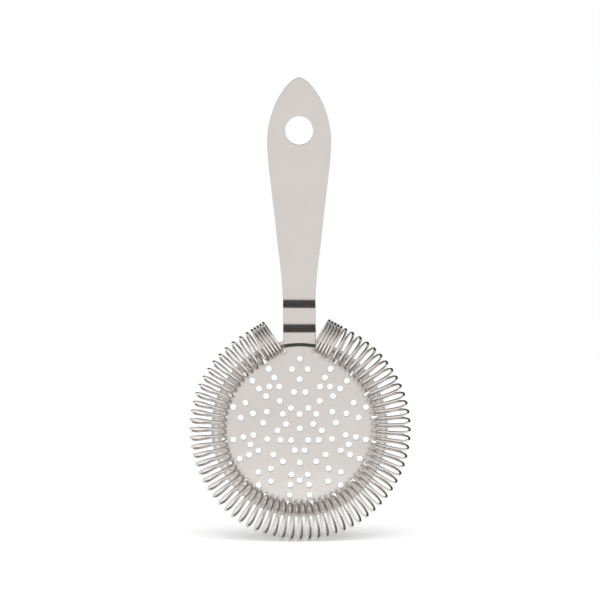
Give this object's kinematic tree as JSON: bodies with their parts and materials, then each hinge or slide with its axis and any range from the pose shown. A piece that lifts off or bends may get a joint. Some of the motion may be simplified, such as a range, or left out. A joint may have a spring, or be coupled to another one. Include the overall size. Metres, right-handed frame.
{
  "type": "hawthorne strainer",
  "caption": "Bar strainer: a perforated round steel plate with a two-step neck and a flat leaf-shaped handle, and a coil spring bent around the plate's edge.",
  "frame": {"origin": "centre of the whole part's footprint, on the floor under the coil's edge, with the handle standing up", "axes": "+Z from the coil's edge up the handle; -Y out of the underside, where the coil is; +X to the right seen from the coil side"},
  "size_m": [0.0858, 0.0268, 0.1815],
  "materials": {
    "sheet_steel": "polished",
    "spring_steel": "polished"
  },
  "bodies": {
    "strainer": {"perforated_plate": "sheet_steel", "stepped_neck": "sheet_steel", "handle": "sheet_steel"},
    "spring": {"coil_spring": "spring_steel"}
  },
  "joints": [
    {"name": "spring_squeeze", "type": "slide", "parent": "strainer", "child": "spring", "axis": [0, 0, 1], "range_m": [0, 0.003], "stiffness_N_per_m": 2500, "deforming": ["coil_spring"]}
  ]
}
